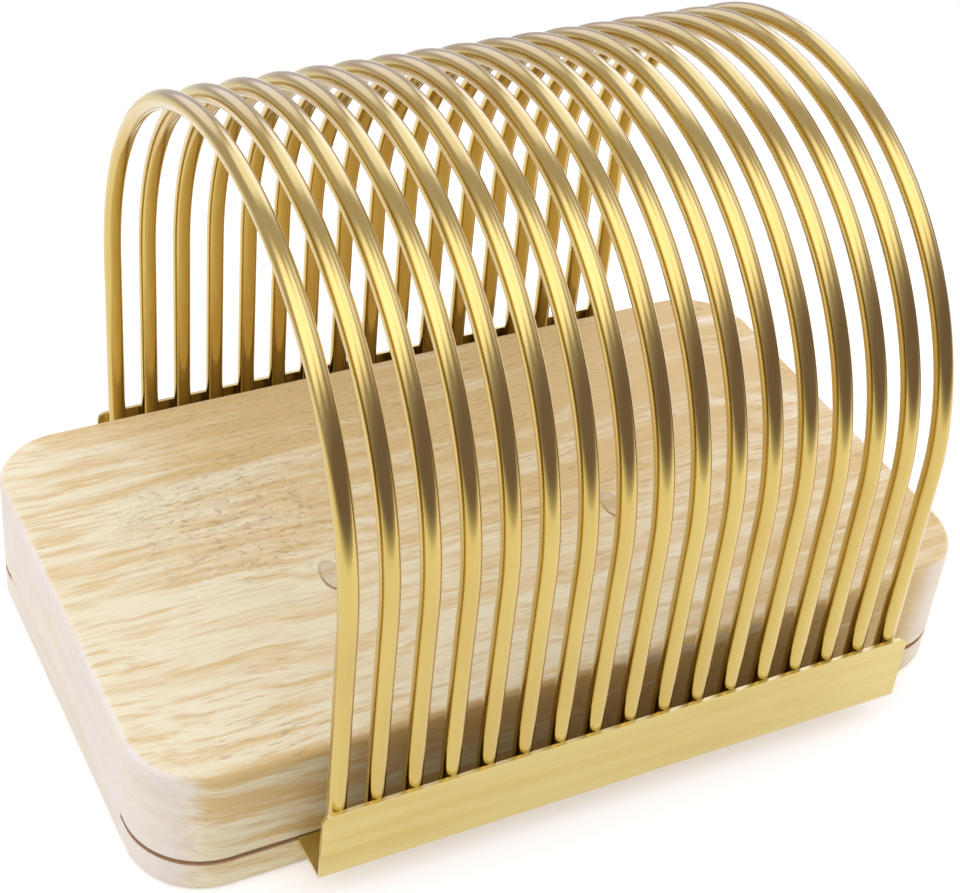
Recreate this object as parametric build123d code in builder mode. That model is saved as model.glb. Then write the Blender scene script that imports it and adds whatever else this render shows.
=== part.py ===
"""Bread slicing rack: a solid wooden board and a welded wire frame that slides along it.

The board has one saw-cut slot low down in each long side, open at both ends. The frame is
two L-section rails, whose flat legs run in those slots, and a row of round-wire arches whose
feet stand in the rails against the upturned lips. Bread lies on the board inside the arches,
and a knife comes down through the gaps between them.

Millimetres. The origin is the middle of the board's underside, +X runs along the board and
+Z is up.
"""
import os

from build123d import *

# ---- board ----
BOARD_LENGTH = 240.0
BOARD_WIDTH = 140.0
BOARD_HEIGHT = 40.0
CORNER_RADIUS = 20.0            # of the four upright corners
EDGE_RADIUS = 2.0               # easing round the top and the underside

# ---- saw-cut slots in the board's long sides ----
SLOT_FLOOR = 9.6                # lower face of the slots, above the board's underside
SLOT_DEPTH = 23.0               # into the wood, from the board's side

# ---- rails ----
SHEET = 1.0                     # thickness of the folded sheet
LEG_PLAY = 0.2                  # between the leg and the slot, above and below
LEG_TIP_PLAY = 1.0              # between the tip of the leg and the end of the slot
TROUGH_WIDTH = 13.0             # from the board's side to the inner face of the lip
LIP_HEIGHT = 22.0               # overall, from the underside of the fold
FOLD_RADIUS = 0.6               # inside the fold
LIP_CORNER_RADIUS = 2.5
LEG_CORNER_RADIUS = 4.0         # leads the leg into the slot
RAIL_END_MARGIN = 2.5           # of rail past the first and the last wire

# ---- wire arches ----
WIRE_DIAMETER = 5.0
WIRE_COUNT = 17
WIRE_PITCH = 10.0
WIRE_END_CHAMFER = 0.4
FOOT_LIFT = FOLD_RADIUS         # keeps the wire's end clear of the fold
ARCH_TOP = 170.0                # highest point, above the board's underside

# ---- where the frame stands along the board ----
FRAME_OFFSET = 2.5

# ---- worked out from the sizes above ----
SLOT_HEIGHT = SHEET + 2 * LEG_PLAY
LEG_BOTTOM = SLOT_FLOOR + LEG_PLAY
LEG_TOP = LEG_BOTTOM + SHEET
LEG_TIP = BOARD_WIDTH / 2 - SLOT_DEPTH + LEG_TIP_PLAY
LIP_TOP = LEG_BOTTOM + LIP_HEIGHT
LIP_INNER = BOARD_WIDTH / 2 + TROUGH_WIDTH
LIP_OUTER = LIP_INNER + SHEET
ROW_LENGTH = (WIRE_COUNT - 1) * WIRE_PITCH
RAIL_LENGTH = ROW_LENGTH + WIRE_DIAMETER + 2 * RAIL_END_MARGIN
ARCH_RADIUS = LIP_INNER - WIRE_DIAMETER / 2
FOOT_BOTTOM = LEG_TOP + FOOT_LIFT
SPRING_HEIGHT = ARCH_TOP - WIRE_DIAMETER / 2 - ARCH_RADIUS


def write(piece, name):
    """Label a finished piece and write the STEP file that is named after it."""
    piece.label = name
    export_step(piece, f"parts/{name}.step")


os.makedirs("parts", exist_ok=True)

# ---- board: a block with round corners, eased edges and a slot in each long side ----
with BuildPart() as base_board:
    with BuildSketch():
        RectangleRounded(BOARD_LENGTH, BOARD_WIDTH, CORNER_RADIUS)
    extrude(amount=BOARD_HEIGHT)
    fillet(base_board.faces().sort_by(Axis.Z)[0].edges(), EDGE_RADIUS)
    fillet(base_board.faces().sort_by(Axis.Z)[-1].edges(), EDGE_RADIUS)
    with BuildSketch(Plane.XY.offset(SLOT_FLOOR)):
        with GridLocations(0, BOARD_WIDTH - SLOT_DEPTH, 1, 2):
            Rectangle(BOARD_LENGTH, SLOT_DEPTH)
    extrude(amount=SLOT_HEIGHT, mode=Mode.SUBTRACT)
write(base_board.part, "base_board")

# ---- rails: folded sheet, leg in the slot and lip outside the board ----
for side, name in ((-1, "front_rail"), (1, "rear_rail")):
    with BuildPart() as rail:
        with BuildSketch(Plane.YZ.offset(FRAME_OFFSET)) as profile:
            with BuildLine():
                Polyline(
                    (side * LEG_TIP, LEG_BOTTOM),
                    (side * LIP_OUTER, LEG_BOTTOM),
                    (side * LIP_OUTER, LIP_TOP),
                    (side * LIP_INNER, LIP_TOP),
                    (side * LIP_INNER, LEG_TOP),
                    (side * LEG_TIP, LEG_TOP),
                    close=True,
                )
            make_face()
            outer_fold = profile.vertices().sort_by_distance((side * LIP_OUTER, LEG_BOTTOM))[0]
            fillet(outer_fold, FOLD_RADIUS + SHEET)
            inner_fold = profile.vertices().sort_by_distance((side * LIP_INNER, LEG_TOP))[0]
            fillet(inner_fold, FOLD_RADIUS)
        extrude(amount=RAIL_LENGTH / 2, both=True)
        lip_corners = rail.edges().filter_by(Axis.Y).group_by(Axis.Z)[-1]
        fillet(lip_corners, LIP_CORNER_RADIUS)
        leg_corners = rail.edges().filter_by(Axis.Z).group_by(Axis.Y)[-1 if side < 0 else 0]
        fillet(leg_corners, LEG_CORNER_RADIUS)
    write(rail.part, name)

# ---- wire arches: upright legs and a half-round top, in planes across the board ----
for number in range(WIRE_COUNT):
    wire_x = FRAME_OFFSET - ROW_LENGTH / 2 + number * WIRE_PITCH
    with BuildPart() as wire_arch:
        with BuildLine(Plane.YZ.offset(wire_x)) as bend:
            Line((-ARCH_RADIUS, FOOT_BOTTOM), (-ARCH_RADIUS, SPRING_HEIGHT))
            CenterArc((0, SPRING_HEIGHT), ARCH_RADIUS, 180, -180)
            Line((ARCH_RADIUS, SPRING_HEIGHT), (ARCH_RADIUS, FOOT_BOTTOM))
        with BuildSketch(Plane(bend.line @ 0, z_dir=bend.line % 0)):
            Circle(WIRE_DIAMETER / 2)
        sweep()
        foot_ends = wire_arch.faces().sort_by(Axis.Z)[:2]
        chamfer(foot_ends.edges(), WIRE_END_CHAMFER)
    write(wire_arch.part, f"wire_arch_{number + 1:02d}")
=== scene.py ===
"""Looks of the bread slicing rack: a pale hardwood board and a gold-coloured wire frame.

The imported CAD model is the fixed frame, and every shape in it stays as it is. This script
gives the board its wood, the arches their bright drawn gold and the rails their satin gold,
and sets the floor, the studio light and the camera. Everything is in metres, with +X along
the board and +Z up.
"""
import math

import bpy
from mathutils import Euler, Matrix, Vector


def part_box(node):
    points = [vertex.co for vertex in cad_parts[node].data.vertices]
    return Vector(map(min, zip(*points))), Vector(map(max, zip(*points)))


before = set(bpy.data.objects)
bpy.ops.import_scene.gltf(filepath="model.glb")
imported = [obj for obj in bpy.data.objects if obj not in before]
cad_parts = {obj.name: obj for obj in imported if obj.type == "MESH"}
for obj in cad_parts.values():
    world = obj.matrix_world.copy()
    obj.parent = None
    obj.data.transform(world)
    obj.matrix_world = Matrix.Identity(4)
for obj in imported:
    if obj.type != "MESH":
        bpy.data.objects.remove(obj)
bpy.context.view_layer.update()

BOARD_LOW, BOARD_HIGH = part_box("base_board")
FIRST_ARCH_LOW, FIRST_ARCH_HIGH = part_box("wire_arch_01")
SECOND_ARCH_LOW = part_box("wire_arch_02")[0]
ARCH_NAMES = sorted(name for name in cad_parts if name.startswith("wire_arch"))
RAIL_NAMES = ("front_rail", "rear_rail")

# ---- sizes worked out from the frame ----
WIRE_RADIUS = (FIRST_ARCH_HIGH[0] - FIRST_ARCH_LOW[0]) / 2
WIRE_PITCH = SECOND_ARCH_LOW[0] - FIRST_ARCH_LOW[0]
FIRST_WIRE_X = FIRST_ARCH_LOW[0] + WIRE_RADIUS
ARCH_RADIUS = FIRST_ARCH_HIGH[1] - WIRE_RADIUS
SPRING_HEIGHT = FIRST_ARCH_HIGH[2] - WIRE_RADIUS - ARCH_RADIUS

# ---- colours, linear ----
WOOD_CREAM = (0.945, 0.885, 0.560)
WOOD_TAN = (0.785, 0.575, 0.220)
WOOD_BROWN = (0.350, 0.190, 0.035)
# end grain colour, paler and greyer partly as painted sheen
WOOD_END_AND_SHEEN = (0.900, 0.845, 0.725)
# painted shade for the saw kerfs' walls
WOOD_KERF_SHADE = (0.420, 0.170, 0.060)
GOLD_LIGHT = (0.650, 0.490, 0.125)
GOLD_DEEP = (0.600, 0.425, 0.095)
RAIL_GOLD = (0.700, 0.570, 0.182)
FLOOR_PAINT = (0.80, 0.79, 0.70)
WHITE = (1.0, 1.0, 1.0)


class Graph:
    """Adds nodes to a shader tree. A value may be a number, a tuple or a node's output."""

    def __init__(self, tree):
        self.tree = tree
        tree.nodes.clear()

    def feed(self, socket, value):
        """Link an output to a socket, or write a plain value on it."""
        if isinstance(value, bpy.types.NodeSocket):
            self.tree.links.new(value, socket)
        elif isinstance(value, tuple) and len(value) == 3 and len(socket.default_value) == 4:
            socket.default_value = (*value, 1.0)
        else:
            socket.default_value = value

    def add(self, kind, inputs=None, **settings):
        """Make a node, set its settings and feed its inputs, by name or by number."""
        node = self.tree.nodes.new(kind)
        for name, value in settings.items():
            setattr(node, name, value)
        for key, value in (inputs or {}).items():
            self.feed(node.inputs[key], value)
        return node

    def math(self, operation, first, second=0.0):
        return self.add("ShaderNodeMath", {0: first, 1: second}, operation=operation).outputs[0]

    def plus(self, first, second):
        return self.math("ADD", first, second)

    def minus(self, first, second):
        return self.math("SUBTRACT", first, second)

    def times(self, first, second):
        return self.math("MULTIPLY", first, second)

    def larger(self, first, second):
        return self.math("MAXIMUM", first, second)

    def distance(self, first, second):
        """How far a point is from the middle, from its two distances along square axes."""
        return self.math("SQRT", self.plus(self.math("POWER", first, 2.0), self.math("POWER", second, 2.0)))

    def step(self, value, low, high, start=0.0, end=1.0):
        """A smooth step of value from start at low to end at high."""
        inputs = {"Value": value, "From Min": low, "From Max": high, "To Min": start, "To Max": end}
        return self.add("ShaderNodeMapRange", inputs, interpolation_type="SMOOTHSTEP").outputs[0]

    def mix(self, factor, first, second):
        """Mix two colours."""
        node = self.add("ShaderNodeMix", {"Factor": factor}, data_type="RGBA")
        self.feed(node.inputs[6], first)
        self.feed(node.inputs[7], second)
        return node.outputs[2]

    def scaled(self, vector, scale, offset=(0.0, 0.0, 0.0)):
        node = self.add("ShaderNodeMapping", {"Vector": vector, "Location": offset, "Scale": scale})
        return node.outputs[0]

    def noise(self, vector, scale=1.0, detail=3.0, roughness=0.5):
        inputs = {"Vector": vector, "Scale": scale, "Detail": detail, "Roughness": roughness}
        return self.add("ShaderNodeTexNoise", inputs).outputs["Fac"]

    def bump(self, height, strength, distance):
        """A surface normal that follows a height."""
        inputs = {"Height": height, "Strength": strength, "Distance": distance}
        return self.add("ShaderNodeBump", inputs).outputs[0]

    def split(self, vector):
        return self.add("ShaderNodeSeparateXYZ", {0: vector}).outputs

    def join(self, x, y, z):
        return self.add("ShaderNodeCombineXYZ", {0: x, 1: y, 2: z}).outputs[0]

    def object_place(self):
        return self.add("ShaderNodeTexCoord").outputs["Object"]

    def rays(self):
        """Whether a ray comes straight from the camera, and whether a mirror or glass sent it."""
        kinds = self.add("ShaderNodeLightPath").outputs
        mirrored = self.larger(kinds["Is Glossy Ray"], kinds["Is Transmission Ray"])
        return kinds["Is Camera Ray"], mirrored


def new_material(name):
    material = bpy.data.materials.new(name)
    material.use_nodes = True
    return material, Graph(material.node_tree)


def finish_surface(graph, **sockets):
    """Put a Principled shader with the given sockets on the material's output."""
    inputs = {key.replace("_", " "): value for key, value in sockets.items()}
    shader = graph.add("ShaderNodeBsdfPrincipled", inputs)
    graph.add("ShaderNodeOutputMaterial", {"Surface": shader.outputs[0]})


# ---------------------------------------------------------------- wood
# Names that end in _SCALE are a noise's cells per metre, few along the fibres, which run in X.
# Names that end in _STEP are what Graph.step takes: low, high and, if not 0 and 1, start, end.

# the fibres wander sideways, slowly and quickly, by this much
SLOW_WANDER_SCALE = (8.0, 10.0, 10.0)
SLOW_WANDER = 0.026
QUICK_WANDER_SCALE = (60.0, 90.0, 90.0)
QUICK_WANDER = 0.0020

# cream turns to tan in broad clouds, in bands a few millimetres wide and in fine fibre
CLOUDS_SCALE = (10.0, 17.0, 17.0)
CLOUDS_OFFSET = (0.3, 0.6, 0.0)
CLOUDS_SHARE = 0.60
BANDS_SCALE = (12.0, 170.0, 170.0)
FIBRE_SCALE = (70.0, 2300.0, 2300.0)
TAN_STEP = (0.36, 0.72)
FIBRE_STEP = (0.40, 0.80, 0.0, 0.30)
# the board is more tan towards +X and +Y, partly its own tone and partly painted shade; its long sides are
# more banded and more tan, partly as painted warm shade from the gold frame
TAN_AND_SHADE_SLOPE_STEP = (-0.07, 0.12, -0.05, 0.19)
SIDE_TAN_AND_SHADE = 0.20
SIDE_BANDS = 1.1

# broken streaks along the fibre: length, width, and the noise between which they come in
PORE_LINES = (0.024, 0.00210, 0.46, 0.72)
PORE_DASHES = (0.0085, 0.00105, 0.58, 0.70)
PORE_SPECKS = (0.0026, 0.00100, 0.55, 0.68)
# the dashes come in patches, and both lines and dashes are fainter on the long sides
PATCHES_SCALE = (16.0, 30.0, 30.0)
PATCHES_OFFSET = (3.1, 0.7, 0.2)
PATCHES_STEP = (0.35, 0.60, 0.20, 1.0)
SIDE_PORES_LOST = 0.5
# the specks show where the clouds are dark, and in the mottled patch
SPECKS_IN_CLOUDS_STEP = (0.50, 0.66, 0.0, 0.6)
BLOTS_SCALE = (160.0, 420.0, 420.0)
BLOTS_STEP = (0.42, 0.66)
# how strongly each of them tints the wood
LINES_TINT = 0.85
SPECKS_TINT = 0.42
BLOTS_TINT = 0.16
DASHES_TINT = 0.36

# ovals in the top: (x, y, half length, half width), with x and y from the board's centre
KNOTS = ((-0.0502, -0.0140, 0.0032, 0.0060), (0.0343, -0.0150, 0.0031, 0.0056))
KNOT_WOBBLE_SCALE = 600.0
KNOT_WOBBLE = 0.25
KNOT_EDGE = 1.1
KNOT_INSIDE_STEP = (1.05, 1.15, 1.0, 0.0)
KNOT_RIM_STEP = (0.04, 0.16, 1.0, 0.0)
KNOT_RIM_FADE_STEP = (-0.6, 0.8, 1.0, 0.25)
KNOT_TINT = 0.27
KNOT_RIM_TINT = 0.90
# a mottled patch in the top, in the same terms, with a ragged soft edge
MOTTLED_PATCH = (-0.066, 0.018, 0.030, 0.030)
MOTTLED_RAGGED = 1.2
MOTTLED_STEP = (0.45, 1.25, 1.0, 0.0)

# end grain shows where the surface faces along X; at +X the board's corners all round also take its pale
# colour, as painted light from the right
SIDE_FACE_STEP = (0.35, 0.85)
END_FACE_STEP = (0.22, 0.72)
LIT_CORNER_STEP = (0.096, 0.108)
END_TINT = 0.85
END_MOTTLE_SCALE = (30.0, 70.0, 40.0)
END_MOTTLE_STEP = (0.35, 0.80, 0.0, 0.45)
END_GROWTH_SCALE = (30.0, 22.0, 260.0)
END_GROWTH_STEP = (0.45, 0.70, 0.0, 0.22)
END_PORES_SCALE = 1800.0
END_PORES_STEP = (0.54, 0.68)
END_PORES_TINT = 0.14

# the saw kerfs that hold the rails: their walls are painted darker, as painted shade in the recess
KERF_HEIGHT = 0.0014
KERF_CENTRE_Z = 0.0103
KERF_DEPTH = 0.023
KERF_EDGE = 0.0003
KERF_SHADE_STRENGTH = 0.70

WOOD_ROUGHNESS_STEP = (0.2, 0.8, 0.50, 0.62)
WOOD_BUMP = 0.22
WOOD_BUMP_DEPTH = 0.0002
LINES_DEPTH = 0.4
FIBRE_HEIGHT = 0.25


def wood_grain(g, place):
    """The place with the fibres' wander taken out, so that a stretch along X follows them."""
    slow = g.noise(g.scaled(place, SLOW_WANDER_SCALE), 1.0, 2.0)
    quick = g.noise(g.scaled(place, QUICK_WANDER_SCALE), 1.0, 2.0)
    drift = g.plus(g.times(slow, SLOW_WANDER), g.times(quick, QUICK_WANDER))
    x, y, z = g.split(place)
    return g.join(x, g.plus(y, drift), g.plus(z, drift))


def wood_streaks(g, grain, length, width, low, high):
    """Broken streaks along the fibre, from 0 to 1."""
    stretched = g.scaled(grain, (1 / length, 1 / width, 1 / width))
    return g.step(g.noise(stretched, 1.0, 2.0, 0.55), low, high)


def from_oval(g, x, y, oval):
    """How far a place is from an oval's centre, 1 on its edge, and the part of that along Y."""
    centre_x, centre_y, half_x, half_y = oval
    u = g.math("DIVIDE", g.minus(x, centre_x), half_x)
    v = g.math("DIVIDE", g.minus(y, centre_y), half_y)
    return g.distance(u, v), v


def wood_knots(g, place, x, y):
    """Small ovals in the top face: a faint tint inside and a dark rim, from 0 to 1."""
    tint, rim = 0.0, 0.0
    for knot in KNOTS:
        reach, v = from_oval(g, x, y, knot)
        reach = g.plus(reach, g.times(g.noise(place, KNOT_WOBBLE_SCALE, 2.0), KNOT_WOBBLE))
        from_edge = g.math("ABSOLUTE", g.minus(reach, KNOT_EDGE))
        tint = g.larger(tint, g.step(reach, *KNOT_INSIDE_STEP))
        ring = g.times(g.step(from_edge, *KNOT_RIM_STEP), g.step(v, *KNOT_RIM_FADE_STEP))
        rim = g.larger(rim, ring)
    return tint, rim


def end_grain(g, place):
    """End grain, paler and greyer partly as painted sheen: a soft mottle, faint growth layers and fine
    pores.
    """
    mottle = g.noise(g.scaled(place, END_MOTTLE_SCALE))
    growth = g.noise(g.scaled(place, END_GROWTH_SCALE))
    pores = g.step(g.noise(place, END_PORES_SCALE, 2.0), *END_PORES_STEP)
    colour = g.mix(g.step(mottle, *END_MOTTLE_STEP), WOOD_END_AND_SHEEN, WOOD_CREAM)
    colour = g.mix(g.step(growth, *END_GROWTH_STEP), colour, WOOD_TAN)
    return g.mix(g.times(pores, END_PORES_TINT), colour, WOOD_TAN)


def kerf_painted_shade(g, y, z):
    """Painted shade on the saw kerfs' walls, from 0 to 1."""
    from_centre = g.math("ABSOLUTE", g.minus(z, KERF_CENTRE_Z))
    in_kerf = g.step(from_centre, KERF_HEIGHT / 2, KERF_HEIGHT / 2 + KERF_EDGE, KERF_SHADE_STRENGTH, 0.0)
    floor_y = BOARD_HIGH[1] - KERF_DEPTH
    return g.times(in_kerf, g.step(g.math("ABSOLUTE", y), floor_y - 0.001, floor_y))


def make_wood():
    """Pale hardwood: soft tan figure and fine fibre along X, brown pore lines, paler end grain partly
    painted as sheen, painted light at the +X corners, and painted shade in the kerfs, on the long sides and
    towards +X and +Y.
    """
    material, g = new_material("board_wood")
    place = g.object_place()
    x, y, z = g.split(place)
    faces = g.split(g.add("ShaderNodeNewGeometry").outputs["Normal"])
    side_face = g.step(g.math("ABSOLUTE", faces[1]), *SIDE_FACE_STEP)
    end_grain_and_lit_corner = g.step(g.math("ABSOLUTE", faces[0]), *END_FACE_STEP)
    # painted light from the right: near the +X end the long sides take the end grain's pale colour
    end_grain_and_lit_corner = g.larger(end_grain_and_lit_corner, g.times(g.step(x, *LIT_CORNER_STEP), side_face))
    grain = wood_grain(g, place)

    # soft figure
    clouds = g.noise(g.scaled(place, CLOUDS_SCALE, CLOUDS_OFFSET))
    bands = g.noise(g.scaled(grain, BANDS_SCALE), 1.0, 4.0, 0.62)
    fibre = g.noise(g.scaled(grain, FIBRE_SCALE), 1.0, 2.0, 0.6)
    tan = g.plus(bands, g.times(g.minus(clouds, 0.5), CLOUDS_SHARE))
    # the long sides' tan is partly painted warm shade from the gold frame
    side_tan_with_shade = g.plus(g.times(g.minus(bands, 0.5), SIDE_BANDS), SIDE_TAN_AND_SHADE)
    tan = g.plus(tan, g.times(side_face, side_tan_with_shade))
    # painted shade in part: the wood turns more tan towards +X and +Y
    tan = g.plus(tan, g.step(g.plus(x, y), *TAN_AND_SHADE_SLOPE_STEP))
    colour = g.mix(g.step(tan, *TAN_STEP), WOOD_CREAM, WOOD_TAN)
    colour = g.mix(g.step(fibre, *FIBRE_STEP), colour, WOOD_TAN)

    # pore marks
    patches = g.noise(g.scaled(place, PATCHES_SCALE, PATCHES_OFFSET), 1.0, 2.0)
    kept = g.minus(1.0, g.times(side_face, SIDE_PORES_LOST))
    lines = g.times(wood_streaks(g, grain, *PORE_LINES), kept)
    dashes = g.times(wood_streaks(g, grain, *PORE_DASHES), g.step(patches, *PATCHES_STEP))
    dashes = g.times(dashes, kept)
    reach, _ = from_oval(g, x, y, MOTTLED_PATCH)
    reach = g.plus(reach, g.times(g.minus(patches, 0.5), MOTTLED_RAGGED))
    mottled = g.step(reach, *MOTTLED_STEP)
    speckled = g.larger(g.step(clouds, *SPECKS_IN_CLOUDS_STEP), mottled)
    specks = g.times(wood_streaks(g, grain, *PORE_SPECKS), speckled)
    blots = g.step(g.noise(g.scaled(grain, BLOTS_SCALE), 1.0, 2.0), *BLOTS_STEP)
    blots = g.times(blots, mottled)
    knot, knot_rim = wood_knots(g, place, x, y)
    marks = (
        (lines, LINES_TINT, WOOD_TAN),
        (specks, SPECKS_TINT, WOOD_BROWN),
        (blots, BLOTS_TINT, WOOD_BROWN),
        (dashes, DASHES_TINT, WOOD_BROWN),
        (knot, KNOT_TINT, WOOD_BROWN),
        (knot_rim, KNOT_RIM_TINT, WOOD_BROWN),
    )
    for mark, strength, tint in marks:
        colour = g.mix(g.times(mark, strength), colour, tint)

    # the end grain colour, partly painted sheen, goes over the end faces and the painted-light +X corners
    colour = g.mix(g.times(end_grain_and_lit_corner, END_TINT), colour, end_grain(g, place))
    # painted shade darkens the saw kerfs' walls
    colour = g.mix(kerf_painted_shade(g, y, z), colour, WOOD_KERF_SHADE)

    hollows = g.larger(dashes, g.times(lines, LINES_DEPTH))
    height = g.minus(g.times(fibre, FIBRE_HEIGHT), hollows)
    finish_surface(g, Base_Color=colour, Roughness=g.step(bands, *WOOD_ROUGHNESS_STEP),
                   Normal=g.bump(height, WOOD_BUMP, WOOD_BUMP_DEPTH))
    return material


# ---------------------------------------------------------------- gold-coloured metal
# the wire's draw marks: many to the metre across it, few along it, and not the same on each wire
DRAWN_ACROSS = 1400.0
DRAWN_ALONG = 22.0
DRAWN_SHIFT = 7.3
WIRE_CLOUDS_ALONG = 18.0
WIRE_CLOUDS_STEP = (0.35, 0.75)
WIRE_ROUGHNESS = 0.12
WIRE_ROUGHNESS_IN_MARKS = 0.07
WIRE_BUMP = 0.04
WIRE_BUMP_DEPTH = 0.00005
WIRE_LACQUER_ROUGHNESS = 0.15

RIPPLES_SCALE = (14.0, 120.0, 210.0)
RIPPLES_STEP = (0.35, 0.7)
BRUSHED_SCALE = (60.0, 2600.0, 2600.0)
RAIL_ROUGHNESS = 0.24
RAIL_ROUGHNESS_IN_MARKS = 0.10
RAIL_MARKS_HEIGHT = 0.03
RAIL_BUMP = 0.6
RAIL_BUMP_DEPTH = 0.0010
RAIL_LACQUER_ROUGHNESS = 0.18


def make_wire_gold():
    """Bright drawn wire: fine marks run along each arch, round its bend."""
    material, g = new_material("wire_gold")
    x, y, z = g.split(g.object_place())
    above = g.larger(g.minus(z, SPRING_HEIGHT), 0.0)
    below = g.math("MINIMUM", g.minus(z, SPRING_HEIGHT), 0.0)
    angle = g.math("ARCTAN2", above, y)
    along = g.minus(g.times(angle, ARCH_RADIUS), below)
    outward = g.minus(g.distance(y, above), ARCH_RADIUS)
    number = g.math("ROUND", g.math("DIVIDE", g.minus(x, FIRST_WIRE_X), WIRE_PITCH))
    sideways = g.minus(x, g.plus(g.times(number, WIRE_PITCH), FIRST_WIRE_X))
    shifted = g.plus(g.times(along, DRAWN_ALONG), g.times(number, DRAWN_SHIFT))
    drawn = g.join(g.times(sideways, DRAWN_ACROSS), g.times(outward, DRAWN_ACROSS), shifted)
    marks = g.noise(drawn, 1.0, 3.0, 0.6)
    clouds = g.noise(g.join(number, g.times(along, WIRE_CLOUDS_ALONG), 0.0))
    colour = g.mix(g.step(clouds, *WIRE_CLOUDS_STEP), GOLD_LIGHT, GOLD_DEEP)
    rough = g.plus(g.times(marks, WIRE_ROUGHNESS_IN_MARKS), WIRE_ROUGHNESS)
    normal = g.bump(marks, WIRE_BUMP, WIRE_BUMP_DEPTH)
    finish_surface(g, Base_Color=colour, Metallic=1.0, Roughness=rough, Normal=normal,
                   Coat_Weight=1.0, Coat_Roughness=WIRE_LACQUER_ROUGHNESS)
    return material


def make_rail_gold():
    """Folded sheet with a satin finish and soft ripples along its length."""
    material, g = new_material("rail_gold")
    place = g.object_place()
    ripples = g.noise(g.scaled(place, RIPPLES_SCALE))
    marks = g.noise(g.scaled(place, BRUSHED_SCALE), 1.0, 2.0, 0.6)
    colour = g.mix(g.step(ripples, *RIPPLES_STEP), RAIL_GOLD, GOLD_LIGHT)
    rough = g.plus(g.times(marks, RAIL_ROUGHNESS_IN_MARKS), RAIL_ROUGHNESS)
    height = g.plus(ripples, g.times(marks, RAIL_MARKS_HEIGHT))
    normal = g.bump(height, RAIL_BUMP, RAIL_BUMP_DEPTH)
    finish_surface(g, Base_Color=colour, Metallic=1.0, Roughness=rough, Normal=normal,
                   Coat_Weight=1.0, Coat_Roughness=RAIL_LACQUER_ROUGHNESS)
    return material


def dress(names, material):
    """Give CAD nodes a material in every slot."""
    for name in names:
        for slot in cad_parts[name].material_slots:
            slot.material = material


# ---------------------------------------------------------------- floor
FLOOR_RADIUS = 0.42
FLOOR_CENTRE_Y = -0.05
FLOOR_GAP = 0.0002
FLOOR_GLOW_SEEN = 0.38
FLOOR_GLOW_MIRRORED = 0.28


def make_floor():
    """A round pale floor that looks white and keeps the rack's shadow."""
    bpy.ops.mesh.primitive_circle_add(vertices=128, radius=FLOOR_RADIUS, fill_type="NGON")
    floor = bpy.context.object
    floor.name = "floor"
    floor.location = (0.0, FLOOR_CENTRE_Y, BOARD_LOW[2] - FLOOR_GAP)
    material, g = new_material("floor_white")
    seen, mirrored = g.rays()
    strength = g.plus(g.times(seen, FLOOR_GLOW_SEEN), g.times(mirrored, FLOOR_GLOW_MIRRORED))
    paint = g.add("ShaderNodeBsdfDiffuse", {"Color": FLOOR_PAINT})
    glow = g.add("ShaderNodeEmission", {"Strength": strength})
    both = g.add("ShaderNodeAddShader", {0: paint.outputs[0], 1: glow.outputs[0]})
    g.add("ShaderNodeOutputMaterial", {"Surface": both.outputs[0]})
    floor.data.materials.append(material)


# ---------------------------------------------------------------- light
# Directions are in degrees: a turn from +Y towards +X, then a height above the horizon.

# soft boxes round the rack: turn, height, half width, half height, lean, brightness
SOFT_BOXES = (
    (-107.0, 42.0, 21.0, 38.0, 32.0, 1.75),     # left
    (165.0, 62.0, 29.0, 22.0, -6.0, 1.66),      # front, high
    (2.0, 57.0, 31.0, 15.0, 0.0, 1.20),         # behind, high
    (43.0, 33.0, 17.0, 29.0, 12.0, 1.42),       # behind, right
    (-5.0, 20.0, 22.0, 20.0, 0.0, 0.95),        # behind, low
    (98.0, 30.0, 17.0, 22.0, 22.0, 1.08),       # right
)
SOFT_BOX_EDGE = 0.39
SOFT_BOX_COLOUR = (0.98, 1.00, 1.20)
# a box shows only on its own side of the room
FACING_STEP = (0.0, 0.2)
# the metal mirrors the soft boxes behind and on the right in a cooler colour
FAR_COLOUR = (0.95, 1.05, 1.68)
FAR_DIRECTION = (45.0, 20.0)
FAR_STEP = (0.0, 0.6)
FAR_BRIGHTNESS_STEP = (0.5, 1.0)
# the walls between the boxes look darker in the metal than they light the wood
WALLS_LEVEL = 0.555
WALLS_DIMMED_IN_METAL = 0.205
ROOM_COLOUR = (0.225, 0.180, 0.230)
# walls and boxes are lit only above a plane that climbs towards the front
LIT_DIRECTION = (-10.0, 48.0)
LIT_STEP = (-0.30, 0.25)
# the white background lies below the horizon, where the camera looks, and metal shows it too
BELOW_STEP = (0.06, 0.34)
MIRRORED_WHITE = (1.0, 0.985, 0.89)


def aim(turn, height):
    """Unit vector for a direction given in degrees."""
    turn, height = math.radians(turn), math.radians(height)
    across = math.cos(height)
    return Vector((math.sin(turn) * across, math.cos(turn) * across, math.sin(height)))


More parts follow.
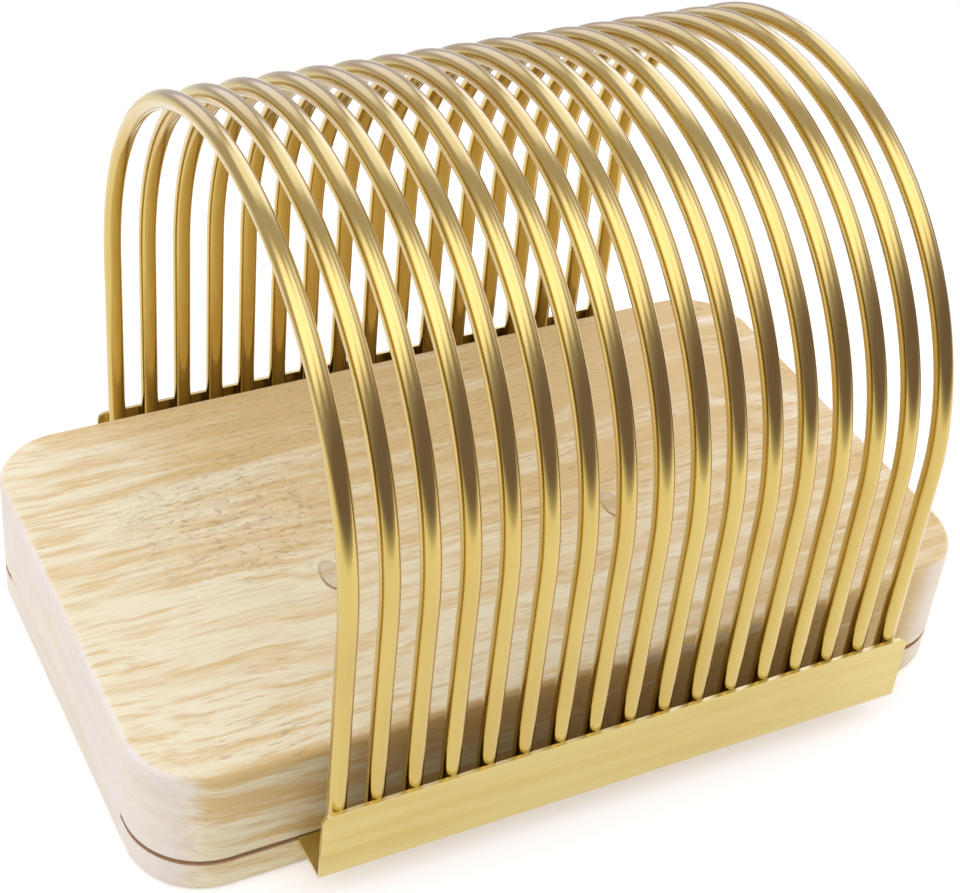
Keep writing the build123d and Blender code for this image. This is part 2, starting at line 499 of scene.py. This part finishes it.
def make_world():
    """A dim room with big soft boxes in it, and white where the camera sees the background."""
    world = bpy.data.worlds.new("studio")
    world.use_nodes = True
    bpy.context.scene.world = world
    g = Graph(world.node_tree)
    direction = g.add("ShaderNodeTexCoord").outputs["Generated"]

    def along(axis):
        inputs = {0: direction, 1: tuple(axis)}
        return g.add("ShaderNodeVectorMath", inputs, operation="DOT_PRODUCT").outputs["Value"]

    seen, mirrored = g.rays()
    level = g.minus(WALLS_LEVEL, g.times(mirrored, WALLS_DIMMED_IN_METAL))
    for turn, height, half_width, half_height, lean, brightness in SOFT_BOXES:
        lean = math.radians(lean)
        level_right, straight_up = aim(turn + 90.0, 0.0), aim(turn, height + 90.0)
        right = level_right * math.cos(lean) + straight_up * math.sin(lean)
        up = straight_up * math.cos(lean) - level_right * math.sin(lean)
        sideways = g.math("DIVIDE", along(right), math.sin(math.radians(half_width)))
        upwards = g.math("DIVIDE", along(up), math.sin(math.radians(half_height)))
        reach = g.distance(sideways, upwards)
        box = g.step(reach, 1.0 - SOFT_BOX_EDGE, 1.0 + SOFT_BOX_EDGE, brightness, 0.0)
        box = g.times(box, g.step(along(aim(turn, height)), *FACING_STEP))
        level = g.larger(level, box)
    lit = g.times(level, g.step(along(aim(*LIT_DIRECTION)), *LIT_STEP))
    far = g.times(mirrored, g.step(along(aim(*FAR_DIRECTION)), *FAR_STEP))
    far = g.times(far, g.step(level, *FAR_BRIGHTNESS_STEP))
    colour = g.mix(far, SOFT_BOX_COLOUR, FAR_COLOUR)
    light = g.add("ShaderNodeBackground", {"Color": colour, "Strength": lit})
    room = g.add("ShaderNodeBackground", {"Color": ROOM_COLOUR})
    studio = g.add("ShaderNodeAddShader", {0: light.outputs[0], 1: room.outputs[0]})

    downwards = g.step(along((0.0, 0.0, -1.0)), *BELOW_STEP)
    shown = g.larger(seen, g.times(mirrored, downwards))
    white = g.add("ShaderNodeBackground", {"Color": g.mix(mirrored, WHITE, MIRRORED_WHITE)})
    either = g.add("ShaderNodeMixShader", {0: shown, 1: studio.outputs[0], 2: white.outputs[0]})
    g.add("ShaderNodeOutputWorld", {"Surface": either.outputs[0]})


# a low lamp on the right lights the board's right end; the metal doesn't mirror it
SIDE_LAMP_PLACE = (0.65, -0.38, 0.12)
SIDE_LAMP_TARGET = (0.12, -0.07, 0.02)
SIDE_LAMP_WATTS = 1.1
SIDE_LAMP_WIDTH = 0.30


def make_side_lamp():
    data = bpy.data.lights.new("side_lamp", "AREA")
    data.energy = SIDE_LAMP_WATTS
    data.size = SIDE_LAMP_WIDTH
    lamp = bpy.data.objects.new("side_lamp", data)
    lamp.location = Vector(SIDE_LAMP_PLACE)
    towards = Vector(SIDE_LAMP_TARGET) - Vector(SIDE_LAMP_PLACE)
    lamp.rotation_euler = towards.to_track_quat("-Z", "Y").to_euler()
    lamp.visible_glossy = False
    bpy.context.scene.collection.objects.link(lamp)


# ---------------------------------------------------------------- camera
CAMERA_PLACE = (-0.2228, -0.3764, 0.3979)
CAMERA_TURN_DEG = (52.1533, -4.5521, -26.0581)
CAMERA_SENSOR_MM = 36.0
CAMERA_LENS_MM = 76.52
CAMERA_SHIFT = (0.0243, -0.0058)
CAMERA_NEAR = 0.01


def make_camera():
    data = bpy.data.cameras.new("camera")
    data.sensor_width = CAMERA_SENSOR_MM
    data.lens = CAMERA_LENS_MM
    data.shift_x, data.shift_y = CAMERA_SHIFT
    data.clip_start = CAMERA_NEAR
    camera = bpy.data.objects.new("camera", data)
    camera.location = Vector(CAMERA_PLACE)
    camera.rotation_euler = Euler([math.radians(turn) for turn in CAMERA_TURN_DEG])
    bpy.context.scene.collection.objects.link(camera)
    bpy.context.scene.camera = camera


dress(["base_board"], make_wood())
dress(ARCH_NAMES, make_wire_gold())
dress(RAIL_NAMES, make_rail_gold())
make_floor()
make_world()
make_side_lamp()
make_camera()
bpy.context.scene.view_settings.view_transform = "Standard"
